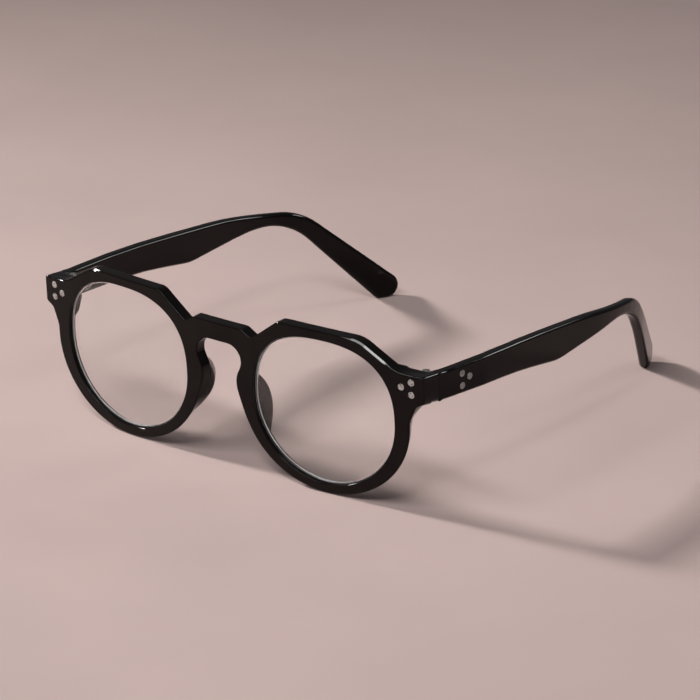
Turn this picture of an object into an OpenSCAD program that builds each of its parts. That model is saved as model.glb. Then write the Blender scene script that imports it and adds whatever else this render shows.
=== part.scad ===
// Round eyeglass frame with a keyhole bridge, standing open on its rims and temple tips.
// Millimetres. Z is up, the front faces -Y and the temples run to +Y.
// Left and right are the wearer's, so left is +X.

/* [Lens openings] */
// Width of one opening in the front
eye_w = 45.2; // [44.6:0.2:46]
// Height of one opening
eye_h = 41.4; // [41:0.2:42.2]
// Distance between the two openings
bridge_w = 23.2; // [22.6:0.2:24]
// How square the upper half of an opening is, where 2 is an ellipse
eye_square = 2.5; // [2.2:0.1:2.8]

/* [Front] */
// How far the front reaches past each opening
end_w = 9.2; // [9:0.1:9.8]
// Thickness of the front
front_t = 3.5; // [3.2:0.1:4]
// Width of the rims at their sides
rim_w = 4.4; // [4.2:0.1:4.6]
// Width of the rims at the bottom
rim_low = 2.7; // [2.5:0.1:3]
// How far the rims narrow behind their front edge
rim_taper = 1.9; // [1.4:0.1:2]
// Height of the brow above the openings
brow_h = 2.6; // [2.4:0.1:3]
// Height of an end piece
end_h = 7.6; // [7.4:0.1:8]
// How much deeper the end pieces are than the rims
end_t = 2.2; // [2:0.1:2.4]
// Radius to which the front is bent round the face
wrap_r = 463; // [420:1:520]
// How far the front leans towards its face side, in degrees
front_lean = 2.8; // [2.4:0.1:3.2]

/* [Lenses] */
// Thickness of a lens
lens_t = 1.8; // [1.6:0.1:2]
// Depth of the groove that holds a lens
groove = 0.6; // [0.4:0.1:0.8]

/* [Temples] */
// Thickness of a temple
temple_t = 3; // [2.8:0.1:3.2]
// Length from the hinge to the rear of the tip
temple_l = 128.6; // [127:0.2:131]
// Height of a temple at its joint
temple_h = 7.8; // [7.6:0.1:8]
// How far the temples open past square, in degrees
splay = 4.4; // [3.8:0.1:5]
// Width of the flat steel wire inside a temple
core_w = 1.8; // [1.4:0.1:2.2]

/* [Hinges] */
// Diameter of a hinge barrel
barrel_d = 2.6; // [2.5:0.1:2.7]
// Height of one barrel
barrel_h = 1.1; // [1:0.05:1.15]
// Diameter of the hinge screw
screw_d = 1.4; // [1.2:0.1:1.5]
// Distance between the two stacked rivets
rivet_gap = 3.5; // [3.3:0.1:3.7]
// Diameter of a rivet's visible head
rivet_d = 1.9; // [1.8:0.1:2.1]

/* [Hidden] */
$fn = 32;
arc_step = 9;
path_step = 2.5;
eye_step = 5;
wrap_fn = 720;
fit = 0.05;
eps = 0.01;

// Lens opening
eye_a = eye_w / 2;
eye_low = eye_h * 0.515;
eye_up = eye_h - eye_low;
eye_x = bridge_w / 2 + eye_a;
eye_z = eye_low + rim_low;
rim_steps = [0, 0.5, 1.3, 2.3, front_t];

// Brow, bridge block and keyhole
brow_z = eye_z + eye_up + brow_h;
brow_in = eye_x - 13.6;
brow_out = eye_x + 12;
notch = [bridge_w / 2 - 0.1, eye_z + 15.8];
block = [notch.x - 3.2, notch.y + 1.9];
key_x = bridge_w / 2 - 3.9;
key_top = block.y - 5.3;
key_low = key_top - 5.4;
neck = [bridge_w / 2 - 5.9, eye_z + 3.6];

// End piece
end_x = eye_x + eye_a + end_w;
end_top = eye_z + 15.6;
end_low = end_top - end_h;
end_fall = [0.85, 1.35];
end_root = eye_z + 3.4;
end_inner = end_x - 10.6;

// Hinge, in the front's own frame, which leans with it
hinge_x = end_x - 4.3;
inner_x = hinge_x + barrel_d / 2 + 0.1;
barrels = 5;
hinge_z = end_top - 4.3;
barrels_low = hinge_z - barrels * barrel_h / 2;
pin_gap = 0.04;
plate_t = 1;
seat_y = sheet_y(hinge_x) + front_t + end_t - plate_t;
// The pin stands this clearance and half a barrel behind the plate, up to the next tenth
barrel_gap = 0.2;
hinge_y = ceil(10 * (seat_y + plate_t + barrel_d / 2 + barrel_gap)) / 10;
plate_in = hinge_x - 4.5;
head_h = 0.5;
head_d = 2.1;
slot_w = 0.35;
rivet_x = hinge_x + 0.5;
rivet_in = 3.05;
rivet_z = end_top - 3.8;
rivet_shank = 1.2;
rivet_head = 0.8;
proud = 0.06;

// Temple rivets, measured back and down from the hinge
temple_rivet = [9.5, -1.45];
temple_rivet_back = 3;
peen = 0.3;
core_start = hinge_y + 15;
core_t = 1;

// Lens
lens_in = (front_t - lens_t) / 2;
groove_in = front_t / 2 - 0.4;
groove_out = front_t / 2 + 0.4;
lens_gap = 0.02;

// Temple: corners [along, height, radius] of its side view, and of its plan
tip_turn = 26.5;
tip_fall = 38.8;
tip_reach = 41.6;
tip_r = 3.6;
temple_x = inner_x + temple_t / 2;
temple_top = eye_z + 15.4;
tip_y = hinge_y + temple_l;
bend = [temple_x - 0.3, tip_y - tip_reach * cos(tip_turn) - temple_t / 2 * sin(tip_turn)];
bend_z = eye_z + 6.8;
knee = [hinge_y + 53.1, eye_z + 2.8];
side_corners = [
    [0, temple_top, 0], [bend.y - 57, temple_top - 1.34, 600], [bend.y - 22, bend_z + 4.9, 150],
    [bend.y, bend_z + 1.85, 0], [bend.y, bend_z - 0.4, 0], [knee.x, knee.y, 12],
    [knee.x - 19.5, knee.y + 2.75, 150], [0, temple_top - temple_h, 0]];
plan_corners = [
    [temple_x - hinge_y * tan(splay), 0, 0], [temple_x + 18.6 * tan(splay), hinge_y + 18.6, 250],
    [bend.x, bend.y, 96], [bend.x - 54 * sin(tip_turn), bend.y + 54 * cos(tip_turn), 0]];

// The tip, turned inward: distances run from the bend along its own length
tip_start = -12.4;
tip_corners = [
    [tip_start, bend_z + 3.57, 0], [9.3, bend_z + 0.55, 25], [tip_reach + tip_r / tan(tip_fall / 2) - tip_r, 0, tip_r],
    [34.4, 0, 2.8], [4.9, bend_z - 1.9, 26], [-8, bend_z - 1.2, 40], [tip_start, bend_z - 1.59, 0]];
core_side = [
    [core_start, temple_top - 4.4, 0], [bend.y - 38, bend_z + 1.9, 300], [bend.y + 6.1, bend_z - 0.2, 26],
    [tip_y - 6, 5, 0]];

// The open frame stands on the rims' front edges; this lift puts them and the tips on the table
rim_foot = eye_z - eye_z * cos(front_lean) + sin(front_lean) * sheet_y(eye_x);
front_y = (eye_z - block.y) * sin(front_lean);
mid_y = (front_y + tip_y) / 2;

// Depth of the front face at a distance x from the middle
function sheet_y(x) = wrap_r - sqrt(wrap_r * wrap_r - x * x);

function unit(v) = v / norm(v);
function spin(v, a) = [v.x * cos(a) - v.y * sin(a), v.x * sin(a) + v.y * cos(a)];
function flat(p) = [p.x, p.y];

// The arc that rounds corner p, met from a and left towards b
function fillet(a, p, b, r) = r == 0 ? [p] :
    let (u = unit(a - p), v = unit(b - p), half = acos(u * v) / 2,
        centre = p + unit(u + v) * r / sin(half), start = p + u * r / tan(half) - centre,
        sweep = (180 - 2 * half) * sign(cross(p - a, b - p)),
        n = ceil(max(abs(sweep) / arc_step, abs(sweep) * r * PI / 180 / path_step)))
    [for (i = [0:n]) centre + spin(start, sweep * i / n)];

// A closed outline through corners [x, y, radius]
function rounded(c) = let (n = len(c))
    [for (i = [0:n - 1]) each fillet(flat(c[(i + n - 1) % n]), flat(c[i]), flat(c[(i + 1) % n]), c[i].z)];

// An open path through corners [x, y, radius]
function open_path(c) = let (n = len(c))
    [for (i = [0:n - 1]) each i == 0 || i == n - 1 ? [flat(c[i])]
        : fillet(flat(c[i - 1]), flat(c[i]), flat(c[i + 1]), c[i].z)];

// A strip of width w along an open path
function side_of(p, i, d) = let (a = p[max(i - 1, 0)], b = p[min(i + 1, len(p) - 1)], t = unit(b - a))
    p[i] + d * [-t.y, t.x];
function ribbon(p, w) = let (n = len(p)) concat(
    [for (i = [0:n - 1]) side_of(p, i, w / 2)], [for (i = [n - 1:-1:0]) side_of(p, i, -w / 2)]);

// Superellipse: the opening's outline, with its own exponent and height above and below the middle
function super(x, a, up, low, n_up) = [for (t = [0:eye_step:359])
    let (c = cos(t), s = sin(t), n = s > 0 ? n_up : 2, b = s > 0 ? up : low)
    [x + a * sign(c) * pow(abs(c), 2 / n), eye_z + b * sign(s) * pow(abs(s), 2 / n)]];
function eye(grow) = super(eye_x, eye_a + grow, eye_up + grow, eye_low + grow, eye_square);
function rim_ring(inset) =
    super(eye_x + 0.3, eye_a + rim_w - inset, eye_up, eye_low + rim_low - inset, eye_square);

// Half of the front: bridge block, notch, brow, end piece, and the nose side down to the rim
front_corners = [
    [0, block.y, 0], [block.x, block.y, 1], [notch.x, notch.y, 0.3], [brow_in, brow_z, 3],
    [brow_out, brow_z, 9], [end_x - 8.2, end_top + 0.1, 9], [end_x, end_top, 0.8], [end_x, end_low, 1],
    [end_x - 2.6, end_low - 1.3, 2], [end_x - 4.8, eye_z + 1, 0], [eye_x, eye_z, 0],
    [eye_x - 15, eye_z - 12, 0], [neck.x + 4.9, neck.y - 14.6, 0], [neck.x + 2.9, neck.y - 11.2, 20],
    [neck.x + 0.15, neck.y - 3.4, 8], [neck.x, neck.y, 5], [key_x + 0.05, key_low, 1.5],
    [key_x, key_top, 4.6], [0, key_top, 0]];

module both() {
    children();
    mirror([1, 0, 0]) children();
}

// The wearer's left side is modelled; the right side is its mirror image
module hand(side) {
    mirror([side < 0 ? 1 : 0, 0, 0]) children();
}

module place() {
    translate([0, -mid_y, 0]) children();
}

module lean() {
    place() translate([0, 0, eye_z - rim_foot]) rotate([front_lean, 0, 0]) translate([0, 0, -eye_z]) children();
}

// Extrude an outline drawn as [x, z] from y0 back to y1
module along_y(y0, y1) {
    translate([0, y1, 0]) rotate([90, 0, 0]) linear_extrude(y1 - y0) children();
}

// Extrude an outline drawn as [y, z] from x0 out to x1
module along_x(x0, x1) {
    translate([x0, 0, 0]) rotate([90, 0, 90]) linear_extrude(x1 - x0) children();
}

// Everything behind the depth d of the bent front
module behind(d) {
    translate([0, wrap_r, -eye_h]) cylinder(h = 3 * eye_h, r = wrap_r - d, $fn = wrap_fn);
}

module sheet(d0, d1) {
    intersection() {
        difference() {
            behind(d0);
            behind(d1);
        }
        along_y(-front_t, 4 * front_t) children();
    }
}

module half_outline(inset) {
    polygon(rounded(front_corners));
    polygon(rim_ring(inset));
}

// The end piece is deeper than the rim, down to a slope at its root
module end_pad() {
    root_y = sheet_y(end_x) + front_t;
    intersection() {
        sheet(front_t - 0.3, front_t + end_t) polygon(rounded(front_corners));
        along_x(end_inner, end_x + eps) polygon([
            [0, end_root], [root_y - 1, end_root], [root_y + end_t - 1, end_root + 1.8],
            [3 * hinge_y, end_root + 1.8], [3 * hinge_y, 2 * eye_h], [0, 2 * eye_h]]);
    }
}

// It runs on beside the hinge to meet the temple, which lies lower
module end_block() {
    intersection() {
        behind(front_t / 2);
        along_y(0, hinge_y - fit) polygon(rounded([
            [inner_x + fit, end_low - end_fall[1], 0], [end_x, end_low - end_fall[1], 1],
            [end_x, end_top, 0.8], [inner_x + fit, end_top, 0]]));
        along_x(inner_x, end_x + eps) polygon([
            [0, end_low], [seat_y, end_low], [hinge_y, end_low - end_fall[1]],
            [hinge_y, end_top - end_fall[0]], [seat_y - end_t, end_top], [0, end_top]]);
    }
}

module rod_y(y0, y1, d) {
    translate([0, y0, 0]) rotate([-90, 0, 0]) cylinder(h = y1 - y0, d = d);
}

module front_rivet_pins() {
    for (spot = [[0, rivet_gap / 2], [0, -rivet_gap / 2], [-rivet_in, 0]])
        translate([rivet_x + spot.x, sheet_y(rivet_x + spot.x), rivet_z + spot.y]) {
            rod_y(-proud, rivet_head, rivet_d);
            rod_y(0, front_t + end_t - plate_t / 2, rivet_shank);
        }
}

module front_plate(depth = plate_t) {
    translate([plate_in, seat_y, end_low + 0.3]) cube([inner_x - plate_in, depth, end_h - 1.6]);
}

// One barrel of the hinge, counted from the bottom, and the arm that holds it
module barrel_at(i, low, high) {
    translate([hinge_x, hinge_y, barrels_low + i * barrel_h + low])
        cylinder(h = barrel_h - low - high, d = barrel_d);
}

module arm_to_front(i, low, high) {
    translate([hinge_x - barrel_d / 2, seat_y, barrels_low + i * barrel_h + low])
        cube([barrel_d, hinge_y - seat_y, barrel_h - low - high]);
}

module arm_to_temple(i) {
    along_temple() translate([hinge_x, hinge_y + 0.3, barrels_low + i * barrel_h + fit / 2])
        cube([inner_x - hinge_x + plate_t / 2, barrel_d - 0.3, barrel_h - fit]);
}

module screw_hole(d) {
    translate([hinge_x, hinge_y, barrels_low - 1]) cylinder(h = barrels * barrel_h + 2, d = d);
}

// The temple half of the hinge lies along the temple, which splays from the front's square
module along_temple() {
    translate([hinge_x, hinge_y, 0]) rotate([0, 0, -splay]) translate([-hinge_x, -hinge_y, 0]) children();
}

module temple_plate() {
    along_temple() along_x(inner_x - plate_t / 2, inner_x + plate_t / 2) polygon(rounded([
        [hinge_y + 1.5, hinge_z - 2.5, 0.3], [hinge_y + 1.5, hinge_z + 2.5, 0.5],
        [hinge_y + 9.4, hinge_z + 1.6, 1], [hinge_y + 13.4, hinge_z - 1.4, 1],
        [hinge_y + 9.6, hinge_z - 4.4, 1], [hinge_y + 6.2, hinge_z - 4.4, 1]]));
}

// Rivets right through the temple, peened over on the hinge's plate
module temple_rivet_pins() {
    along_temple() for (spot = [[0, rivet_gap / 2], [0, -rivet_gap / 2], [temple_rivet_back, 0]])
        translate([inner_x, hinge_y + temple_rivet.x + spot.x, hinge_z + temple_rivet.y + spot.y])
            rotate([0, 90, 0]) {
                translate([0, 0, temple_t - rivet_head]) cylinder(h = rivet_head + proud, d = rivet_d);
                translate([0, 0, -plate_t / 2]) cylinder(h = temple_t, d = rivet_shank);
                translate([0, 0, -plate_t / 2 - peen]) cylinder(h = peen, d = rivet_d - 0.4);
            }
}

module at_bend() {
    translate([bend.x, bend.y, 0]) rotate([0, 0, tip_turn]) children();
}

module temple_body() {
    intersection() {
        place() {
            difference() {
                along_x(0, end_x + 6) polygon(rounded(side_corners));
                at_bend() translate([-end_x, tip_start + fit, -1]) cube([2 * end_x, temple_l, 2 * eye_h]);
            }
            at_bend() along_x(-end_x / 2, end_x / 2) polygon(rounded(tip_corners));
        }
        place() linear_extrude(temple_top + 6) polygon(ribbon(open_path(plan_corners), temple_t));
        lean() translate([0, hinge_y, -eye_h]) cube([2 * end_x, 2 * temple_l, 3 * eye_h]);
    }
}

module core_body(slack) {
    intersection() {
        place() along_x(0, end_x + 6) polygon(ribbon(open_path(core_side), core_w + slack));
        place() linear_extrude(temple_top) polygon(ribbon(open_path(plan_corners), core_t + slack));
    }
}

module front_frame() {
    color([0.06, 0.055, 0.05]) lean() difference() {
        union() {
            for (i = [0:len(rim_steps) - 2])
                sheet(rim_steps[i], rim_steps[i + 1]) both() half_outline(rim_taper * i / (len(rim_steps) - 2));
            both() {
                end_pad();
                end_block();
            }
        }
        along_y(-front_t, 4 * front_t) both() polygon(eye(0));
        sheet(groove_in, groove_out) both() polygon(eye(groove));
        both() {
            front_plate(2 * plate_t);
            front_rivet_pins();
        }
    }
}

module lens(side) {
    color([0.85, 0.9, 0.92, 0.35]) lean() hand(side) {
        sheet(lens_in, lens_in + lens_t) polygon(eye(-lens_gap));
        sheet(groove_in + lens_gap, groove_out - lens_gap) polygon(eye(groove - lens_gap));
    }
}

// A fin behind the rim's nose side, turned outward as it runs back: its side view [depth, height,
// radius], and its outline seen along the turned direction
pad_turn = 30;
pad_x = neck.x + 4.3;
pad_foot = neck.x * cos(pad_turn) - front_t * sin(pad_turn);
pad_side = [
    [0, neck.y + 0.6, 0], [front_t + 1.5, neck.y + 0.6, 1.2], [front_t + 6.3, neck.y - 5, 2.8],
    [front_t + 6.3, neck.y - 9.6, 2.8], [front_t + 0.9, neck.y - 16.4, 0.8], [0, neck.y - 16.4, 0]];
pad_band = [
    [pad_foot + 3.3, neck.y + 1, 0.8], [pad_foot + 0.4, neck.y + 1, 0.8], [pad_foot, neck.y - 3.6, 14],
    [pad_foot + 1.4, neck.y - 9.4, 12], [pad_foot + 5.5, neck.y - 17, 0.6], [pad_foot + 7.6, neck.y - 17, 0.6],
    [pad_foot + 3.2, neck.y - 9.8, 10], [pad_foot + 2.1, neck.y - 4.6, 10]];

module nose_pad(side) {
    color([0.07, 0.06, 0.055]) lean() hand(side) intersection() {
        along_x(0, bridge_w) polygon(rounded(pad_side));
        rotate([0, 0, -pad_turn]) along_y(0, bridge_w) polygon(rounded(pad_band));
        translate([pad_x, sheet_y(pad_x) + front_t + 0.03, 0]) rotate([0, 0, asin(pad_x / wrap_r)])
            translate([-bridge_w, 0, 0]) cube([1.1 * bridge_w, bridge_w, 2 * eye_h]);
    }
}

module front_hinge(side) {
    color([0.7, 0.68, 0.62]) lean() hand(side) difference() {
        union() {
            front_plate();
            for (i = [0, 2, 4]) {
                barrel_at(i, 0, 0);
                arm_to_front(i, 0, 0);
            }
        }
        screw_hole(screw_d + pin_gap);
        front_rivet_pins();
    }
}

module temple_hinge(side) {
    color([0.7, 0.68, 0.62]) lean() hand(side) difference() {
        union() {
            temple_plate();
            for (i = [1, 3]) {
                barrel_at(i, fit / 2, fit / 2);
                arm_to_temple(i);
            }
        }
        screw_hole(screw_d + 2 * pin_gap);
        temple_rivet_pins();
    }
}

module hinge_screw(side) {
    color([0.75, 0.74, 0.7]) lean() hand(side) translate([hinge_x, hinge_y, barrels_low]) difference() {
        union() {
            cylinder(h = barrels * barrel_h + eps, d = screw_d);
            translate([0, 0, barrels * barrel_h]) cylinder(h = head_h, d = head_d);
        }
        translate([-head_d, -slot_w / 2, barrels * barrel_h + head_h / 2]) cube([2 * head_d, slot_w, head_h]);
    }
}

module front_rivets(side) {
    color([0.85, 0.85, 0.84]) lean() hand(side) front_rivet_pins();
}

module temple_rivets(side) {
    color([0.85, 0.85, 0.84]) lean() hand(side) temple_rivet_pins();
}

module temple(side) {
    color([0.06, 0.055, 0.05]) hand(side) difference() {
        temple_body();
        lean() {
            temple_plate();
            arm_to_temple(1);
            arm_to_temple(3);
        }
        lean() temple_rivet_pins();
        core_body(0);
    }
}

module temple_core(side) {
    color([0.6, 0.6, 0.6]) hand(side) core_body(0);
}

front_frame();
lens(1);  // lens_left
lens(-1);  // lens_right
nose_pad(1);  // nose_pad_left
nose_pad(-1);  // nose_pad_right
front_hinge(1);  // front_hinge_left
front_hinge(-1);  // front_hinge_right
temple_hinge(1);  // temple_hinge_left
temple_hinge(-1);  // temple_hinge_right
hinge_screw(1);  // hinge_screw_left
hinge_screw(-1);  // hinge_screw_right
front_rivets(1);  // front_rivets_left
front_rivets(-1);  // front_rivets_right
temple_rivets(1);  // temple_rivets_left
temple_rivets(-1);  // temple_rivets_right
temple(1);  // temple_left
temple(-1);  // temple_right
temple_core(1);  // temple_core_left
temple_core(-1);  // temple_core_right
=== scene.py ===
"""Looks of the round eyeglass frame: polished black acetate, clear lenses and riveted hinges."""

import math

import bmesh
import bpy
import numpy as np
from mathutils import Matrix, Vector
from mathutils.geometry import delaunay_2d_cdt


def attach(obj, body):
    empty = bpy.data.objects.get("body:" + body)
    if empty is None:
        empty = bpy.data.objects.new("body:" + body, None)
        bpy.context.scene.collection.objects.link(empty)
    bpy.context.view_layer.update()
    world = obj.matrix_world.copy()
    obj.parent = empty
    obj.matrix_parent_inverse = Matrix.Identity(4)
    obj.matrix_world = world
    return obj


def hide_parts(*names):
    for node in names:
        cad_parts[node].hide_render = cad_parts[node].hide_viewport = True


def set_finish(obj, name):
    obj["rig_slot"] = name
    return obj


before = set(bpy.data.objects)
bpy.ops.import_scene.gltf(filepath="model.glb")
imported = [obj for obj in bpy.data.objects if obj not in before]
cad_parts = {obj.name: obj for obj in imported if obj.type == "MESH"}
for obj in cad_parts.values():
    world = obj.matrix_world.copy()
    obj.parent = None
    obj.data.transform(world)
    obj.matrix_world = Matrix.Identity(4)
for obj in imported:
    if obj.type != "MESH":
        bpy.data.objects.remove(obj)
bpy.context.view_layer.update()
MM = 0.001

# ---- Sizes in millimetres, as in the CAD source ----
EYE_A, EYE_LOW, EYE_UP = 22.6, 21.321, 20.079
EYE_POWER = 2.5
BRIDGE = 23.2
EYE_X = BRIDGE / 2 + EYE_A
RIM_LOW, RIM_SIDE, BROW = 2.7, 4.4, 2.6
EYE_Z = EYE_LOW + RIM_LOW
FRONT_T, WRAP = 3.5, 463.0
LEAN = math.radians(2.8)
END_X = 66.0
END_TOP = EYE_Z + 15.6
END_LOW = END_TOP - 7.6
END_T = 2.2
HINGE_IN = 4.3  # from the end piece's side and from its top
HINGE_X, HINGE_Y, HINGE_Z = END_X - HINGE_IN, 11.4, END_TOP - HINGE_IN
INNER_X = HINGE_X + 1.4
TEMPLE_T, TEMPLE_L, SPLAY = 3.0, 128.6, math.radians(4.4)
TEMPLE_X = INNER_X + TEMPLE_T / 2
TEMPLE_TOP = EYE_Z + 15.4
TIP_TURN, TIP_FALL = math.radians(26.5), math.radians(38.8)
TIP_REACH, TIP_R = 41.6, 3.6
LENS_IN, LENS_T = 0.85, 1.8
RIVET_GAP, RIVET_R, PROUD = 3.5, 0.95, 0.05
WALL_SLOPE = 0.54  # how far the rims narrow for each millimetre of depth
TAIL = 54.0  # length of a temple's plan past the corner of its bend

# ---- Fineness of the meshes ----
PATH_STEP = 0.12
BASE_FLAT = 0.08  # width of the flat ring inside a rounded edge
NORMAL_WEIGHT = 60


def sheet_y(x, depth=0.0):
    """Depth of the bent front at x, `depth` behind its front face."""
    return WRAP - np.sqrt((WRAP - depth) ** 2 - np.square(x))


RIM_FOOT = EYE_Z - EYE_Z * math.cos(LEAN) + math.sin(LEAN) * float(sheet_y(EYE_X))
BLOCK_Z = EYE_Z + 17.7
TIP_Y = HINGE_Y + TEMPLE_L
MID_Y = ((EYE_Z - BLOCK_Z) * math.sin(LEAN) + TIP_Y) / 2


def lean(p):
    """From the front's own upright frame to the shared frame, still in millimetres."""
    p = np.asarray(p, float)
    y, z = p[..., 1], p[..., 2] - EYE_Z
    return np.stack(
        [
            p[..., 0],
            y * math.cos(LEAN) - z * math.sin(LEAN) - MID_Y,
            y * math.sin(LEAN) + z * math.cos(LEAN) + EYE_Z - RIM_FOOT,
        ],
        -1,
    )


# ---- Outlines ----
def unit(v):
    return v / np.linalg.norm(v)


def fillet(a, p, b, r, step=3.0):
    """Points of the arc that rounds corner p between a and b."""
    if r <= 0:
        return [p]
    u, v = unit(a - p), unit(b - p)
    half = math.acos(max(-1.0, min(1.0, float(u @ v)))) / 2
    centre = p + unit(u + v) * r / math.sin(half)
    start = p + u * r / math.tan(half) - centre
    e, f = p - a, b - p
    sweep = (math.pi - 2 * half) * np.sign(e[0] * f[1] - e[1] * f[0])
    n = max(2, math.ceil(abs(math.degrees(sweep)) / step))
    out = []
    for i in range(n + 1):
        c, s = math.cos(sweep * i / n), math.sin(sweep * i / n)
        out.append(centre + np.array([start[0] * c - start[1] * s, start[0] * s + start[1] * c]))
    return out


def rounded(corners, closed=True):
    """An outline through corners [x, y, radius]."""
    pts = [np.array(c[:2], float) for c in corners]
    n, out = len(pts), []
    for i, c in enumerate(corners):
        if not closed and i in (0, n - 1):
            out.append(pts[i])
        else:
            out += fillet(pts[i - 1], pts[i], pts[(i + 1) % n], c[2])
    return np.array(out)


def dense(path, spacing, closed=True):
    """The same path with points at even spacing."""
    p = np.vstack([path, path[:1]]) if closed else path
    s = np.concatenate([[0], np.cumsum(np.linalg.norm(np.diff(p, axis=0), axis=1))])
    n = max(8, int(round(s[-1] / spacing)))
    t = np.linspace(0, s[-1], n + 1)[: n if closed else n + 1]
    return np.stack([np.interp(t, s, p[:, k]) for k in range(p.shape[1])], -1)


def soften(path, rounds):
    """Evens out a closed dense path a little."""
    for _ in range(rounds):
        path = 0.5 * path + 0.25 * (np.roll(path, 1, 0) + np.roll(path, -1, 0))
    return path


def smooth(t):
    """Eases from 0 to 1 as t does."""
    t = np.clip(t, 0, 1)
    return t * t * (3 - 2 * t)


def signed_area(p):
    x, y = p[:, 0], p[:, 1]
    return 0.5 * float(np.sum(x * np.roll(y, -1) - np.roll(x, -1) * y))


def loop(path, hole=False, longest=0.9, turn=7.0, weight=None):
    """A dense closed path thinned to the points its shape needs, with normals into the material."""
    if (signed_area(path) > 0) == hole:
        path = path[::-1]
        weight = None if weight is None else weight[::-1]
    t = np.roll(path, -1, 0) - np.roll(path, 1, 0)
    t /= np.linalg.norm(t, axis=1)[:, None]
    ang = np.arctan2(t[:, 1], t[:, 0])
    keep, last, length = [0], 0, 0.0
    for i in range(1, len(path)):
        length += np.linalg.norm(path[i] - path[i - 1])
        d = abs((ang[i] - ang[last] + math.pi) % (2 * math.pi) - math.pi)
        if length > longest or math.degrees(d) > turn:
            keep.append(i)
            last, length = i, 0.0
    into = np.stack([-t[:, 1], t[:, 0]], -1)[keep]
    w = np.zeros(len(keep)) if weight is None else weight[keep]
    return {"p": path[keep], "n": into, "w": w}


def inside(points, poly):
    """Which points lie inside a polygon."""
    x, y = points[:, 0][:, None], points[:, 1][:, None]
    a, b = poly, np.roll(poly, -1, 0)
    cross = (a[:, 1] > y) != (b[:, 1] > y)
    with np.errstate(divide="ignore", invalid="ignore"):
        xi = (b[:, 0] - a[:, 0]) * (y - a[:, 1]) / (b[:, 1] - a[:, 1]) + a[:, 0]
    return (np.sum(cross & (x < xi), axis=1) % 2) == 1


def clearance(points, poly):
    """Distance from points to a polygon's edges."""
    a, b = poly, np.roll(poly, -1, 0)
    d = b - a
    out = np.full(len(points), 1e9)
    for i in range(0, len(points), 2000):
        q = points[i : i + 2000, None, :]
        t = np.clip(((q - a) * d).sum(-1) / np.maximum((d * d).sum(-1), 1e-12), 0, 1)
        out[i : i + 2000] = np.linalg.norm(q - (a + t[..., None] * d), axis=-1).min(1)
    return out


# ---- Meshes ----
def new_object(name, verts, faces, body, slot, mats, face_mat=None, weighted=True):
    mesh = bpy.data.meshes.new(name)
    mesh.from_pydata((np.asarray(verts) * MM).tolist(), [], faces)
    for m in mats:
        mesh.materials.append(m)
    if face_mat is not None:
        mesh.polygons.foreach_set("material_index", np.asarray(face_mat, np.int32))
    bm = bmesh.new()
    bm.from_mesh(mesh)
    bmesh.ops.recalc_face_normals(bm, faces=bm.faces)
    bm.to_mesh(mesh)
    bm.free()
    mesh.shade_smooth()
    obj = bpy.data.objects.new(name, mesh)
    bpy.context.scene.collection.objects.link(obj)
    if weighted:
        obj.modifiers.new("normals", "WEIGHTED_NORMAL").weight = NORMAL_WEIGHT
    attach(obj, body)
    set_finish(obj, slot)
    return obj


def cap(loops, grid):
    """Triangles that fill the region between loops, through extra points."""
    pts = np.vstack([*loops, grid]) if len(grid) else np.vstack(loops)
    edges, base = [], 0
    for q in loops:
        edges += [(base + i, base + (i + 1) % len(q)) for i in range(len(q))]
        base += len(q)
    res = delaunay_2d_cdt([Vector(p) for p in pts], edges, [], 0, 1e-9)
    coords = np.array([tuple(v) for v in res[0]])
    if not all(res[3]):
        added = [i for i, o in enumerate(res[3]) if not o]
        raise ValueError(f"outline crosses itself near {coords[added][:4]}")
    back = [o[0] for o in res[3]]
    tris = np.array([f for f in res[2] if len(f) == 3])
    mid = coords[tris].mean(1)
    ok = inside(mid, loops[0])
    for q in loops[1:]:
        ok &= ~inside(mid, q)
    return pts, [[back[i] for i in t] for t in tris[ok]]


def plate(name, loops, rings, to3d, body, slot, mats, spacing=1.5, ring_mat=None):
    """A rounded plate. rings(loop) lists (inset, depth) from the front face round the edge to the back."""
    verts, faces, face_mat = [], [], []
    firsts, lasts, count = [], [], 0
    for q in loops:
        prof = rings(q)
        n = len(q["p"])
        for k, (inset, depth) in enumerate(prof):
            p = q["p"] + q["n"] * np.broadcast_to(inset, n)[:, None]
            verts.append(to3d(p[:, 0], p[:, 1], np.broadcast_to(depth, n)))
            if k:
                a, b = count + (k - 1) * n, count + k * n
                faces += [(a + i, a + (i + 1) % n, b + (i + 1) % n, b + i) for i in range(n)]
                face_mat += [ring_mat[k - 1] if ring_mat else 0] * n
        for ends, k, depth in ((firsts, 0, 0.0), (lasts, len(prof) - 1, prof[-1][1])):
            p = q["p"] + q["n"] * np.broadcast_to(prof[k][0], n)[:, None]
            ends.append((count + k * n, p, depth))
        count += n * len(prof)
    for side in (firsts, lasts):
        polys = [s[1] for s in side]
        lo, hi = polys[0].min(0), polys[0].max(0)
        gx, gy = np.meshgrid(np.arange(lo[0], hi[0], spacing), np.arange(lo[1], hi[1], spacing))
        grid = np.stack([gx.ravel(), gy.ravel()], -1)
        ok = inside(grid, polys[0]) & (clearance(grid, polys[0]) > spacing * 0.45)
        for q in polys[1:]:
            ok &= ~inside(grid, q) & (clearance(grid, q) > spacing * 0.45)
        grid = grid[ok]
        _, tris = cap(polys, grid)
        index = [s[0] + np.arange(len(s[1])) for s in side] + [count + np.arange(len(grid))]
        index = np.concatenate(index)
        faces += [tuple(int(index[i]) for i in t) for t in tris]
        face_mat += [0] * len(tris)
        if len(grid):
            verts.append(to3d(grid[:, 0], grid[:, 1], np.full(len(grid), float(np.mean(side[0][2])))))
            count += len(grid)
    return new_object(name, np.vstack(verts), faces, body, slot, mats, face_mat)


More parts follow.
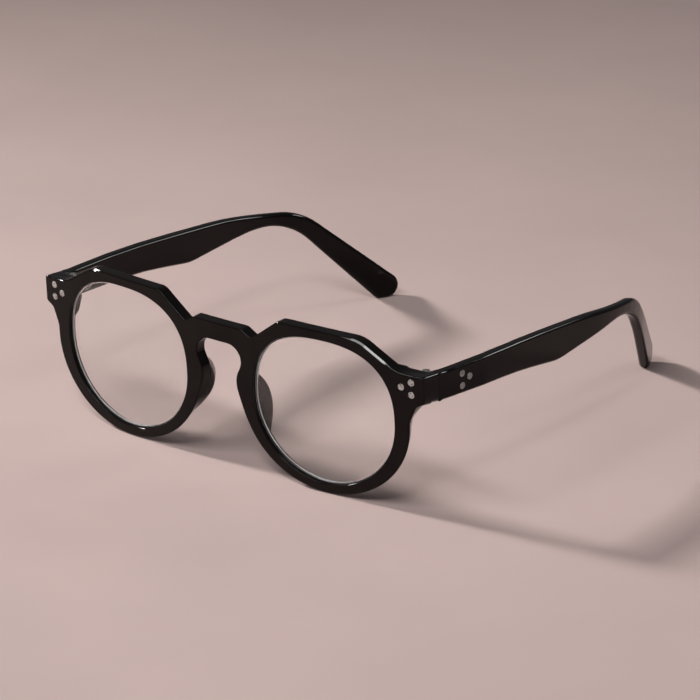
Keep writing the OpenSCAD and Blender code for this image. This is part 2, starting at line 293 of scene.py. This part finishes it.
def edge_rings(thick, r_front, r_back, slope=0.0, steps=5):
    """Rings of a plate whose two edges are rounded and whose wall may slope in towards the back."""

    def rings(q):
        out = []
        for depth0, r, sense in ((0.0, r_front, 1), (thick, r_back, -1)):
            part = [(r + BASE_FLAT, depth0)]
            for i in range(steps + 1):
                a = math.pi / 2 * i / steps
                part.append((r * (1 - math.sin(a)), depth0 + sense * r * (1 - math.cos(a))))
            out += part if sense > 0 else part[::-1]
        return [(o + slope * q["w"] * d, d) for o, d in out]

    return rings


def mirror(obj, name, body):
    """The wearer's right-hand copy of a left-hand piece."""
    mesh = obj.data.copy()
    mesh.name = name
    bm = bmesh.new()
    bm.from_mesh(mesh)
    bmesh.ops.scale(bm, vec=(-1, 1, 1), verts=bm.verts)
    bmesh.ops.reverse_faces(bm, faces=bm.faces)
    bm.to_mesh(mesh)
    bm.free()
    copy = bpy.data.objects.new(name, mesh)
    bpy.context.scene.collection.objects.link(copy)
    for m in obj.modifiers:
        copy.modifiers.new(m.name, m.type).weight = NORMAL_WEIGHT
    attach(copy, body)
    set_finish(copy, obj["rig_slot"])
    return copy


# ---- Materials ----
def material(name):
    m = bpy.data.materials.new(name)
    m.use_nodes = True
    nt = m.node_tree
    return m, nt.nodes, nt.links, nt.nodes["Principled BSDF"]


def noise(nodes, links, scale, detail=3.0, stretch=None):
    coord = nodes.new("ShaderNodeTexCoord")
    tex = nodes.new("ShaderNodeTexNoise")
    tex.inputs["Scale"].default_value = scale
    tex.inputs["Detail"].default_value = detail
    if stretch:
        mapping = nodes.new("ShaderNodeMapping")
        mapping.inputs["Scale"].default_value = stretch
        links.new(coord.outputs["Object"], mapping.inputs["Vector"])
        links.new(mapping.outputs["Vector"], tex.inputs["Vector"])
    else:
        links.new(coord.outputs["Object"], tex.inputs["Vector"])
    return tex


def ramp(nodes, links, source, low, high, a=0.3, b=0.7):
    node = nodes.new("ShaderNodeMapRange")
    node.inputs["From Min"].default_value = a
    node.inputs["From Max"].default_value = b
    node.inputs["To Min"].default_value = low
    node.inputs["To Max"].default_value = high
    links.new(source.outputs["Fac"], node.inputs["Value"])
    return node


def tint(nodes, links, source, dark, light):
    node = nodes.new("ShaderNodeMix")
    node.data_type = "RGBA"
    node.inputs["A"].default_value = (*dark, 1)
    node.inputs["B"].default_value = (*light, 1)
    links.new(source.outputs["Result"], node.inputs["Factor"])
    return node


def bump(nodes, links, bsdf, source, strength, distance):
    node = nodes.new("ShaderNodeBump")
    node.inputs["Strength"].default_value = strength
    node.inputs["Distance"].default_value = distance
    links.new(source.outputs["Fac"], node.inputs["Height"])
    links.new(node.outputs["Normal"], bsdf.inputs["Normal"])


def acetate(name, dark, light, rough, shine=0.15):
    m, nodes, links, bsdf = material(name)
    clouds = noise(nodes, links, 90, 3)
    mix = tint(nodes, links, ramp(nodes, links, clouds, 0, 1), dark, light)
    links.new(mix.outputs["Result"], bsdf.inputs["Base Color"])
    polish = noise(nodes, links, 420, 4)
    gloss = ramp(nodes, links, polish, rough * 0.7, rough * 1.5)
    links.new(gloss.outputs["Result"], bsdf.inputs["Roughness"])
    bump(nodes, links, bsdf, noise(nodes, links, 260, 2), 0.06, 0.00003)
    bsdf.inputs["IOR"].default_value = 1.5
    bsdf.inputs["Specular IOR Level"].default_value = shine
    return m


def metal(name, dark, light, rough, stretch, size=900):
    m, nodes, links, bsdf = material(name)
    grain = noise(nodes, links, size, 4, stretch)
    mix = tint(nodes, links, ramp(nodes, links, grain, 0, 1), dark, light)
    links.new(mix.outputs["Result"], bsdf.inputs["Base Color"])
    gloss = ramp(nodes, links, grain, rough * 0.7, rough * 1.4)
    links.new(gloss.outputs["Result"], bsdf.inputs["Roughness"])
    bump(nodes, links, bsdf, grain, 0.12, 0.00002)
    bsdf.inputs["Metallic"].default_value = 1.0
    return m


def clear_lens(name):
    m, nodes, links, bsdf = material(name)
    haze = noise(nodes, links, 60, 2)
    gloss = ramp(nodes, links, haze, 0.0, 0.012)
    links.new(gloss.outputs["Result"], bsdf.inputs["Roughness"])
    share = ramp(nodes, links, haze, 0, 1)
    mix = tint(nodes, links, share, (0.97, 0.985, 0.98), (0.99, 0.995, 0.995))
    links.new(mix.outputs["Result"], bsdf.inputs["Base Color"])
    bsdf.inputs["Transmission Weight"].default_value = 1.0
    bsdf.inputs["IOR"].default_value = 1.5
    return m


def ground_edge(name):
    m, nodes, links, bsdf = material(name)
    grit = noise(nodes, links, 1500, 3)
    share = ramp(nodes, links, grit, 0, 1)
    mix = tint(nodes, links, share, (0.62, 0.62, 0.61), (0.86, 0.86, 0.85))
    links.new(mix.outputs["Result"], bsdf.inputs["Base Color"])
    bsdf.inputs["Roughness"].default_value = 0.45
    bump(nodes, links, bsdf, grit, 0.2, 0.00003)
    return m


BLACK = acetate("black_acetate", (0.0032, 0.0024, 0.0022), (0.006, 0.0045, 0.004), 0.08)
PAD = acetate("pad_acetate", (0.006, 0.005, 0.0045), (0.011, 0.0092, 0.0085), 0.18, 0.17)
LENS = clear_lens("clear_lens")
LENS_EDGE = ground_edge("ground_lens_edge")
RIVET = metal("rivet_nickel", (0.36, 0.385, 0.38), (0.68, 0.71, 0.70), 0.3, None, 1900)
# A darker copy of the rivet nickel: painted shade for the temple rivets, standing in for the shadowed floor
# they reflect.
RIVET_PAINTED_SHADE = metal("rivet_nickel_painted_shade", (0.20, 0.215, 0.21), (0.42, 0.44, 0.43), 0.34, None, 1900)
HINGE = metal("hinge_dark_nickel", (0.07, 0.068, 0.064), (0.15, 0.145, 0.137), 0.3, (1, 1, 6))
SCREW = metal("screw_steel", (0.55, 0.55, 0.55), (0.75, 0.74, 0.72), 0.25, (6, 6, 1))
CORE = metal("core_wire", (0.5, 0.5, 0.5), (0.66, 0.66, 0.65), 0.3, (1, 8, 1))


# ---- Front ----
NOTCH = (BRIDGE / 2 - 0.1, EYE_Z + 15.8)
BLOCK = (NOTCH[0] - 3.2, NOTCH[1] + 1.9)
BROW_Z = EYE_Z + EYE_UP + BROW
KEY_X, KEY_TOP = BRIDGE / 2 - 3.9, BLOCK[1] - 5.3
KEY_LOW = KEY_TOP - 5.4
NECK = (BRIDGE / 2 - 5.9, EYE_Z + 3.6)


def eye_path(grow, x0=EYE_X, side=0.0, low=0.0, n=720):
    """The lens opening's outline, grown by grow: an ellipse below, squarer above."""
    t = np.linspace(0, 2 * math.pi, n, endpoint=False)
    c, s = np.cos(t), np.sin(t)
    p = np.where(s > 0, 2 / EYE_POWER, 1.0)
    b = np.where(s > 0, EYE_UP, EYE_LOW + low) + grow
    x = x0 + (EYE_A + side + grow) * np.sign(c) * np.abs(c) ** p
    return np.stack([x, EYE_Z + b * np.sign(s) * np.abs(s) ** p], -1)


def front_half():
    """Outer outline of the +X half, from the top of the bridge round to the keyhole."""
    bridge_top = [(0, BLOCK[1], 0), (BLOCK[0], BLOCK[1], 1), (NOTCH[0], NOTCH[1], 0.3)]
    brow = [(EYE_X - 13.6, BROW_Z, 3), (EYE_X + 12, BROW_Z, 9), (END_X - 8.2, END_TOP + 0.1, 9)]
    end_piece = [
        (END_X, END_TOP, 0.8), (END_X, END_LOW, 1), (END_X - 2.6, END_LOW - 1.3, 2),
        (END_X - 4.8, EYE_Z + 1, 0),
    ]
    through_rim = [
        (EYE_X, EYE_Z, 0), (EYE_X - 15, EYE_Z - 12, 0), (NECK[0] + 4.9, NECK[1] - 14.6, 0),
    ]
    nose_side = [
        (NECK[0] + 2.9, NECK[1] - 11.2, 20), (NECK[0] + 0.15, NECK[1] - 3.4, 8), (NECK[0], NECK[1], 5),
    ]
    keyhole = [(KEY_X + 0.05, KEY_LOW, 2.7), (KEY_X, KEY_TOP, 4.6), (0, KEY_TOP, 0)]
    poly = rounded(bridge_top + brow + end_piece + through_rim + nose_side + keyhole)
    a = dense(poly, PATH_STEP, closed=False)
    ring = eye_path(0, EYE_X + 0.3, RIM_SIDE, RIM_LOW, 1440)[::-1]
    a_out, b_out = ~inside(a, ring), ~inside(ring, poly)
    first = int(np.argmin(a_out))
    last = len(a) - int(np.argmin(a_out[::-1]))
    start = next(i for i in range(len(ring)) if b_out[i] and not b_out[i - 1])
    ring, b_out = np.roll(ring, -start, 0), np.roll(b_out, -start)
    run = ring[: int(np.argmin(b_out))]
    return np.vstack([a[:first], run, a[last:]])


def front_outline():
    """The front's whole outline, and how much its wall slopes in at each point."""
    half = front_half()
    full = np.vstack([half, half[-2:0:-1] * [-1, 1]])
    full = dense(full, PATH_STEP)
    even, full = soften(full, 130), soften(full, 10)
    share = smooth((9.6 - np.abs(full[:, 0])) / 1.5) * smooth((KEY_TOP - 2.5 - full[:, 1]) / 1.5)
    full += (even - full) * share[:, None]
    x, z = np.abs(full[:, 0]), full[:, 1]
    out = np.clip((END_LOW - 1.0 - z) / 7.2, 0, 1) * (x > EYE_X)
    nose = np.clip((17.0 - z) / 9, 0, 1) * (x <= EYE_X)
    return full, (out + nose) * (0.78 + 0.22 * smooth((z - 1) / 9))


def droop(x, y, z):
    """The end pieces fall a little as they run back to the temples, more at the bottom than at the top."""
    rate = 0.13 + 0.07 * np.clip((END_TOP - z) / 7.6, 0, 1)
    share = smooth((np.abs(x) - 57) / 6) * smooth((z - END_LOW + 4) / 4)
    return z - rate * share * np.maximum(y - sheet_y(x), 0)


def bent(x, z, d):
    """A point of the bent, leaning front, d behind its front face."""
    y = sheet_y(x, d)
    return lean(np.stack([x, y, droop(x, y, z)], -1))


outline, rim_share = front_outline()
outer = loop(outline, weight=rim_share)
holes = [loop(dense(eye_path(0) * [hand, 1], PATH_STEP), hole=True) for hand in (1, -1)]
hole_rings = edge_rings(FRONT_T, 0.26, 0.2)
BEVEL = [(0.72, 0.0), (0.64, 0.0), (0.56, 0.03), (0.5, 0.09), (0.09, 0.5), (0.03, 0.56), (0.0, 0.64)]


def outer_rings(q):
    """A soft front edge that opens to a bevel along the outer brows, and a wall that slopes in."""
    x, z = np.abs(q["p"][:, 0]), q["p"][:, 1]
    share = smooth((x - 41) / 4) * smooth((END_X - 0.2 - x) / 1.2) * smooth((z - END_TOP + 2) / 1.2)
    share *= 1 - 0.8 * smooth((x - 54) / 2.5)
    rings = edge_rings(FRONT_T, 0.42, 0.22, WALL_SLOPE)(q)
    for i, (inset, depth) in enumerate(BEVEL):
        rings[i] = (rings[i][0] + (inset - rings[i][0]) * share, rings[i][1] + (depth - rings[i][1]) * share)
    return rings


front = plate(
    "front_acetate", [outer, *holes], lambda q: outer_rings(q) if q is outer else hole_rings(q), bent,
    "front", "acetate", [BLACK],
)
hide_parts("front_frame")

# End pieces: a deeper pad behind the front, and a block that runs back beside the hinge
def pad_loop():
    """The end pad's outline: the front's own outline, then a root slope and the lens opening."""
    x, z = outline[:, 0], outline[:, 1]
    start = int(np.argmin(np.abs(x - 55.6) + 10 * (z < 40)))
    ring = eye_path(0.35)
    ring = ring[(ring[:, 1] > EYE_Z + 3.4) & (ring[:, 0] > 55.2)]
    ring = ring[np.argsort(ring[:, 1])]
    run = np.roll(outline, -start, 0)
    if run[20, 0] < run[0, 0]:
        run = np.roll(outline[::-1], start + 1 - len(outline), 0)
    stop = next(i for i in range(1, len(run)) if run[i, 1] < END_LOW - 1.1)
    return soften(dense(np.vstack([run[:stop], ring]), PATH_STEP), 90)


def pad_point(x, z, d):
    """The end pad's lower and inner sides draw in as they rise from the front's back."""
    rise = np.maximum(d - 0.3, 0)
    low = smooth((END_LOW + 0.6 - z) / 1.2) * smooth((x - 57) / 2)
    z2 = z + 0.82 * rise * smooth((EYE_Z + 7.6 - z) / 4.2) + 0.35 * rise * low
    z2 -= 0.5 * rise * smooth((62 - x) / 6) * smooth((z - 36.5) / 3)
    x2 = x + 0.5 * rise * smooth((58.6 - x) / 3) * smooth((z - 34.5) / 2) - 0.5 * rise * low
    return bent(x2, z2, d + FRONT_T - 0.3)


def end_rings(thick, r):
    """Rings of the end pad: a small bevel against the front and a rounded rear edge."""

    def rings(q):
        out = [(0.35, 0.0), (0.0, 0.35)]
        for i in range(6):
            a = math.pi / 2 * i / 5
            out.append((r * (1 - math.cos(a)), thick - r + r * math.sin(a)))
        out.append((r + BASE_FLAT, thick))
        return out

    return rings


end_pad = plate(
    "end_pad_left", [loop(pad_loop(), longest=0.6)], end_rings(END_T + 0.3, 0.28), pad_point,
    "front", "acetate", [BLACK], 1.2,
)
mirror(end_pad, "end_pad_right", "front")
block_path = dense(
    rounded([
        (INNER_X + 0.05, END_TOP + 0.03, 0.5), (END_X + 0.004, END_TOP + 0.004, 0.8),
        (END_X + 0.004, END_LOW - 0.004, 1), (INNER_X + 0.05, END_LOW - 0.1, 0.5),
    ]), 0.1,
)
BLOCK_Y0 = float(sheet_y(INNER_X)) + 1.6
block_len = HINGE_Y - 0.05 - BLOCK_Y0


def block_point(x, z, d):
    y = BLOCK_Y0 + d
    return lean(np.stack([x, y, droop(x, y, z)], -1))


end_piece = plate(
    "end_piece_left", [loop(block_path, longest=0.6)], edge_rings(block_len, 0.2, 0.14),
    block_point, "front", "acetate", [BLACK], 1.2,
)
mirror(end_piece, "end_piece_right", "front")

# ---- Lenses ----
LENS_HALF = [(0.5, 0.0), (0.38, 0.0), (0.3, 0.03), (-0.5, 0.72)]
LENS_RINGS = LENS_HALF + [(inset, LENS_T - depth) for inset, depth in LENS_HALF[::-1]]
LENS_RING_MATERIALS = [0, 0, 1, 1, 1, 0, 0]  # the ground bevel is the second material
LENS_CLEARANCE = 0.02
lens_left = plate(
    "lens_glass_left", [loop(dense(eye_path(-LENS_CLEARANCE), PATH_STEP), longest=1.2)],
    lambda q: LENS_RINGS, lambda x, z, d: bent(x, z, d + LENS_IN),
    "front", "lens", [LENS, LENS_EDGE], 3.0, LENS_RING_MATERIALS,
)
lens_right = mirror(lens_left, "lens_glass_right", "front")
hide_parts("lens_left")
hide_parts("lens_right")


# ---- Nose pads: one smooth fin behind each rim ----
def smooth_rows(rows, n):
    """Catmull-Rom through rows of numbers."""
    rows = np.array(rows, float)
    pad = np.vstack([2 * rows[0] - rows[1], rows, 2 * rows[-1] - rows[-2]])
    out = []
    for t in np.linspace(0, len(rows) - 1, n):
        i = min(int(t), len(rows) - 2)
        f = t - i
        a, b, c, d = pad[i : i + 4]
        square, cube = 2 * a - 5 * b + 4 * c - d, 3 * b - a - 3 * c + d
        out.append(0.5 * (2 * b + (c - a) * f + square * f**2 + cube * f**3))
    return np.array(out)


# height, lens-side foot, crest x, crest depth
PAD_ROWS = [
    (29.4, 9.4, 8.2, 2.9), (28.3, 10.1, 8.8, 4.9), (26.9, 10.5, 9.2, 6.6), (25.0, 10.8, 9.5, 8.1),
    (22.5, 10.9, 9.9, 9.3), (19.9, 11.1, 10.5, 9.65), (17.6, 11.6, 11.2, 9.1), (15.3, 12.5, 12.1, 7.8),
    (12.7, 13.8, 13.2, 5.6), (10.8, 14.9, 14.2, 4.2), (8.8, 16.4, 15.6, 3.3), (7.4, 17.4, 16.6, 2.9),
]
PAD_BASE = 3.3


def nose_wall(z):
    """Where the rim's nose side ends at the back, at height z."""
    p = outer["p"] + outer["n"] * (WALL_SLOPE * outer["w"] * (FRONT_T - 0.2))[:, None]
    p = p[(p[:, 0] > 4) & (p[:, 0] < 20) & (p[:, 1] > 3) & (p[:, 1] < KEY_LOW - 0.6)]
    p = p[np.argsort(p[:, 1])]
    return float(np.interp(z, p[:, 1], p[:, 0])) + 0.02


def pad_section(row, n=34):
    """Points round one level section of the fin, from its nose-side foot over the crest."""
    z, b, cx, cy = row
    a = nose_wall(z)
    crest = np.array([cx, cy])
    foot = np.array([(a + b) / 2, PAD_BASE])
    rise = max(0.05, cy - PAD_BASE)
    t = unit(crest - foot) if rise > 0.2 else np.array([0.0, 1.0])
    across = np.array([-t[1], t[0]])
    if across[0] > 0:
        across = -across
    half = min(0.75, 0.34 * (b - a))
    base_a, base_b = np.array([a, PAD_BASE]), np.array([b, PAD_BASE])
    near = crest + across * half
    turn = [a, max(PAD_BASE + 0.25, near[1] - 1.28 * (near[0] - a) - 0.15)]
    corners = [base_a, turn, near, crest - across * half, base_b + [0, 0.25], base_b]
    pts = dense(np.array(corners), 0.04, closed=False)
    k = 26  # points over which the corners are evened out
    kernel = np.ones(k) / k
    for _ in range(2):
        padded = np.vstack([np.repeat(pts[:1], k, 0), pts, np.repeat(pts[-1:], k, 0)])
        pts = np.stack([np.convolve(padded[:, i], kernel, "same")[k:-k] for i in range(2)], -1)
    pts[0], pts[-1] = base_a, base_b
    length = np.linalg.norm(np.diff(pts, axis=0), axis=1).sum()
    pts = dense(pts, length / n, closed=False)[: n + 1]
    return np.stack([pts[:, 0], pts[:, 1] + sheet_y(pts[:, 0]), np.full(len(pts), z)], -1)


def nose_pad():
    """The fin: sections from row to row, closed at both ends."""
    rows = smooth_rows(PAD_ROWS, 60)
    secs = [pad_section(r) for r in rows]
    n = min(len(s) for s in secs)
    verts = np.vstack([lean(s[:n]) for s in secs])
    faces = []
    for j in range(len(secs) - 1):
        for i in range(n - 1):
            faces.append((j * n + i, j * n + i + 1, (j + 1) * n + i + 1, (j + 1) * n + i))
        faces.append((j * n + n - 1, j * n, (j + 1) * n, (j + 1) * n + n - 1))
    faces += [tuple(range(n)), tuple(reversed(range((len(secs) - 1) * n, len(secs) * n)))]
    return new_object("nose_fin_left", verts, faces, "front", "nose_pad", [PAD])


pad_left = nose_pad()
pad_right = mirror(pad_left, "nose_fin_right", "front")
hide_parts("nose_pad_left")
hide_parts("nose_pad_right")

# ---- Temples: a flat outline bent along its plan ----
BEND = (TEMPLE_X - 0.3, TIP_Y - TIP_REACH * math.cos(TIP_TURN) - TEMPLE_T / 2 * math.sin(TIP_TURN))
BEND_Z = EYE_Z + 6.8
KNEE = (HINGE_Y + 53.1, EYE_Z + 2.8)
plan = dense(
    rounded([
        (TEMPLE_X - HINGE_Y * math.tan(SPLAY), 0, 0),
        (TEMPLE_X + 18.6 * math.tan(SPLAY), HINGE_Y + 18.6, 250), (*BEND, 96),
        (BEND[0] - TAIL * math.sin(TIP_TURN), BEND[1] + TAIL * math.cos(TIP_TURN), 0),
    ], closed=False), 0.25, closed=False,
)
plan_s = np.concatenate([[0], np.cumsum(np.linalg.norm(np.diff(plan, axis=0), axis=1))])
plan_t = np.gradient(plan, plan_s, axis=0)
plan_t /= np.linalg.norm(plan_t, axis=1)[:, None]


def along(y):
    """Length along the plan at depth y, in front of the bend."""
    return float(np.interp(y, plan[:, 1], plan_s))


def beyond(d):
    """Length along the plan at a distance d past the bend's corner."""
    return float(plan_s[-1]) - TAIL + d


def temple_point(s, z, d):
    """d is 0 at the outer face and the thickness at the inner face."""
    off = TEMPLE_T / 2 - d
    x = np.interp(s, plan_s, plan[:, 0]) + off * np.interp(s, plan_s, plan_t[:, 1])
    y = np.interp(s, plan_s, plan[:, 1]) - off * np.interp(s, plan_s, plan_t[:, 0])
    return np.stack([x, y - MID_Y, z], -1)


hinge_low = lean([HINGE_X, HINGE_Y, HINGE_Z]) + [0, MID_Y, 0]


def joint_y(z):
    return float(hinge_low[1] + (hinge_low[2] - z) * math.tan(LEAN))


top0, low0 = TEMPLE_TOP - 0.34, TEMPLE_TOP - 8.32
side = dense(
    rounded([
        (along(joint_y(top0)), top0, 0.3), (along(BEND[1] - 57), TEMPLE_TOP - 1.34, 600),
        (along(BEND[1] - 22), BEND_Z + 4.9, 150), (beyond(9.3), BEND_Z + 0.55, 25),
        (beyond(TIP_REACH + TIP_R / math.tan(TIP_FALL / 2) - TIP_R), 0, TIP_R),
        (beyond(34.4), 0, 2.8), (beyond(4.9), BEND_Z - 1.9, 26), (beyond(-8), BEND_Z - 1.2, 40),
        (along(KNEE[0]), KNEE[1], 20), (along(KNEE[0] - 19.5), KNEE[1] + 2.75, 150),
        (along(joint_y(low0)), low0, 0.3),
    ]), PATH_STEP,
)
joint_share = smooth((along(HINGE_Y) + 1.2 - side[:, 0]) / 0.8)


def temple_rings(q):
    """Edges that are nearly square at the joint, softly bevelled along the arm and rounder at the tip."""
    tip = smooth((q["p"][:, 0] - beyond(-50)) / 55)
    r = 0.6 - 0.46 * q["w"] + 0.5 * tip
    flat = 0.5 * (1 - tip)
    out = []
    for depth0, sense in ((0.0, 1), (TEMPLE_T, -1)):
        part = [(r + BASE_FLAT, depth0)]
        for i in range(7):
            t = i / 6
            inset = (1 - flat) * (1 - math.sin(t * math.pi / 2)) + flat * (1 - t)
            depth = (1 - flat) * (1 - math.cos(t * math.pi / 2)) + flat * t
            part.append((r * inset, depth0 + sense * r * depth))
        out += part if sense > 0 else part[::-1]
    return out


temple_left = plate(
    "temple_acetate_left", [loop(side, weight=joint_share, longest=1.2)], temple_rings, temple_point,
    "temple_left", "acetate", [BLACK], 1.6,
)
temple_right = mirror(temple_left, "temple_acetate_right", "temple_right")
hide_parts("temple_left")
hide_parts("temple_right")


# ---- Rivets and screws ----
def lathe(profile, origin, axis, n=40):
    """Vertices and faces of a turned piece: profile [(radius, height)] about an axis."""
    axis = unit(np.array(axis, float))
    u = unit(np.cross(axis, [0.3, 0.5, 0.81]))
    v = np.cross(axis, u)
    t = np.linspace(0, 2 * math.pi, n, endpoint=False)
    ring = np.cos(t)[:, None] * u + np.sin(t)[:, None] * v
    verts = np.vstack([origin + ring * r + axis * h for r, h in profile])
    faces = [
        (k * n + i, k * n + (i + 1) % n, (k + 1) * n + (i + 1) % n, (k + 1) * n + i)
        for k in range(len(profile) - 1) for i in range(n)
    ]
    faces += [tuple(range(n)), tuple(range((len(profile) - 1) * n, len(profile) * n))]
    return verts, faces


def gather(name, parts, body, slot, mat):
    """One object from several turned pieces."""
    verts, faces, base = [], [], 0
    for v, f in parts:
        verts.append(v)
        faces += [tuple(i + base for i in q) for q in f]
        base += len(v)
    return new_object(name, np.vstack(verts), faces, body, slot, [mat])


def head(r, h, base=-0.5):
    """A nearly flat polished end with a softened rim; h is how far it stands proud."""
    side = [(r, base), (r, h - 0.05), (r - 0.03, h - 0.018), (r - 0.09, h - 0.004)]
    return side + [(r * 0.6, h + 0.008), (r * 0.2, h + 0.014), (0.01, h + 0.015)]


RIVET_X, RIVET_Z = HINGE_X + 0.5, END_TOP - 3.8
TEMPLE_RIVET_Y, TEMPLE_RIVET_Z = HINGE_Y + 9.5, HINGE_Z - 1.45
SPOTS = [(0, RIVET_GAP / 2), (0, -RIVET_GAP / 2)]
front_heads = []
for dx, dz in [*SPOTS, (-3.05, 0)]:
    x = RIVET_X + dx
    slope = x / WRAP
    at = lean([x, float(sheet_y(x)), RIVET_Z + dz])
    out = lean([x + slope, float(sheet_y(x)) - 1, RIVET_Z + dz]) - at
    front_heads.append(lathe(head(RIVET_R, PROUD), at, out))
rivets_left = gather("front_rivet_heads_left", front_heads, "front", "rivet_metal", RIVET)
rivets_right = mirror(rivets_left, "front_rivet_heads_right", "front")
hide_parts("front_rivets_left")
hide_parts("front_rivets_right")


def along_temple(x, y, z):
    """A point given square to the hinge, turned with the temple's splay."""
    c, s = math.cos(SPLAY), math.sin(SPLAY)
    u, w = x - HINGE_X, y - HINGE_Y
    return lean([HINGE_X + u * c + w * s, HINGE_Y - u * s + w * c, z])


temple_heads = []
for dy, dz in [*SPOTS, (3, 0)]:
    y, z = TEMPLE_RIVET_Y + dy, TEMPLE_RIVET_Z + dz
    at, inner = along_temple(INNER_X + TEMPLE_T, y, z), along_temple(INNER_X - 0.5, y, z)
    out = unit(at - inner)
    temple_heads.append(lathe(head(RIVET_R, PROUD), at, out))
    temple_heads.append(lathe(head(RIVET_R - 0.2, 0.27, -3.0), inner, -out))
# The temple rivets take the darker copy of the rivet nickel, which is painted shade.
temple_rivets_left = gather("temple_rivet_heads_left", temple_heads, "temple_left", "rivet_metal", RIVET_PAINTED_SHADE)
temple_rivets_right = mirror(temple_rivets_left, "temple_rivet_heads_right", "temple_right")
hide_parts("temple_rivets_left")
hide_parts("temple_rivets_right")

# Hinge hardware and the wire cores keep their CAD solids with metal finishes; the hinge pieces and screws
# also get softened edges
KEPT = {"front_hinge": HINGE, "temple_hinge": HINGE, "hinge_screw": SCREW, "temple_core": CORE}
for node, mat in KEPT.items():
    for hand in ("left", "right"):
        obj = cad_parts[f"{node}_{hand}"]
        obj.data.materials.clear()
        obj.data.materials.append(mat)
        if node != "temple_core":
            weld = obj.modifiers.new("weld", "WELD")
            weld.merge_threshold = 1e-6
            bev = obj.modifiers.new("edge", "BEVEL")
            bev.width, bev.segments, bev.limit_method = 0.00008, 2, "ANGLE"
            bev.angle_limit = math.radians(35)

# ---- Floor, light and camera ----
REACH = 3  # metres from the middle of the floor to its sides
mesh = bpy.data.meshes.new("floor")
corners = [(-REACH, -REACH, 0), (REACH, -REACH, 0), (REACH, REACH, 0), (-REACH, REACH, 0)]
mesh.from_pydata(corners, [], [(0, 1, 2, 3)])
floor = bpy.data.objects.new("floor", mesh)
floor.location.z = -0.00005
bpy.context.scene.collection.objects.link(floor)
m, nodes, links, bsdf = material("pale_floor")
share = ramp(nodes, links, noise(nodes, links, 14, 4), 0, 1)
mix = tint(nodes, links, share, (0.40, 0.308, 0.29), (0.43, 0.33, 0.31))
links.new(mix.outputs["Result"], bsdf.inputs["Base Color"])
bsdf.inputs["Roughness"].default_value = 0.9
bsdf.inputs["Specular IOR Level"].default_value = 0.1
mesh.materials.append(m)


def area_light(name, place, target, size, power, colour=(1, 1, 1), spread=180):
    """A soft box aimed at target; spread, in degrees, is how wide its light fans out."""
    data = bpy.data.lights.new(name, "AREA")
    data.shape = "RECTANGLE"
    data.size, data.size_y = size
    data.energy = power
    data.spread = math.radians(spread)
    data.color = colour
    obj = bpy.data.objects.new(name, data)
    obj.location = place
    obj.rotation_euler = (Vector(target) - Vector(place)).to_track_quat("-Z", "Y").to_euler()
    bpy.context.scene.collection.objects.link(obj)


area_light("key", (-1.12, -0.25, 0.68), (0, -0.02, 0.02), (0.16, 0.16), 1.85, (1.0, 0.97, 0.95), 52)
area_light("brow", (0.31, -0.66, 0.73), (0.05, -0.06, 0.04), (0.14, 0.12), 1.7)
area_light("strip", (-0.02, -0.58, 0.755), (0.06, -0.055, 0.04), (0.70, 0.10), 4.6)
area_light("window", (0.37, 0.78, 0.56), (0.04, 0.0, 0.04), (0.26, 0.11), 1.6)
world = bpy.data.worlds.new("studio")
bpy.context.scene.world = world
world.use_nodes = True
world.node_tree.nodes["Background"].inputs["Color"].default_value = (0.96, 0.97, 1.0, 1)
world.node_tree.nodes["Background"].inputs["Strength"].default_value = 0.11

SENSOR, FRAME_WIDTH, FOCAL = 36.0, 700, 4239.57  # millimetres, then pixels of the photograph
CAMERA = (0.685252, (-822.308 - MID_Y) * MM, 0.434391)
DIP, TURN = 20.5363, 37.914  # degrees below level, and round from straight ahead
cam_data = bpy.data.cameras.new("camera")
cam_data.sensor_width = SENSOR
cam_data.lens = SENSOR * FOCAL / FRAME_WIDTH
cam_data.clip_start, cam_data.clip_end = 0.05, 20
camera = bpy.data.objects.new("camera", cam_data)
camera.location = CAMERA
camera.rotation_euler = (math.radians(90 - DIP), 0, math.radians(TURN))
bpy.context.scene.collection.objects.link(camera)
bpy.context.scene.camera = camera
bpy.context.scene.view_settings.view_transform = "Standard"

bpy.context.view_layer.update()
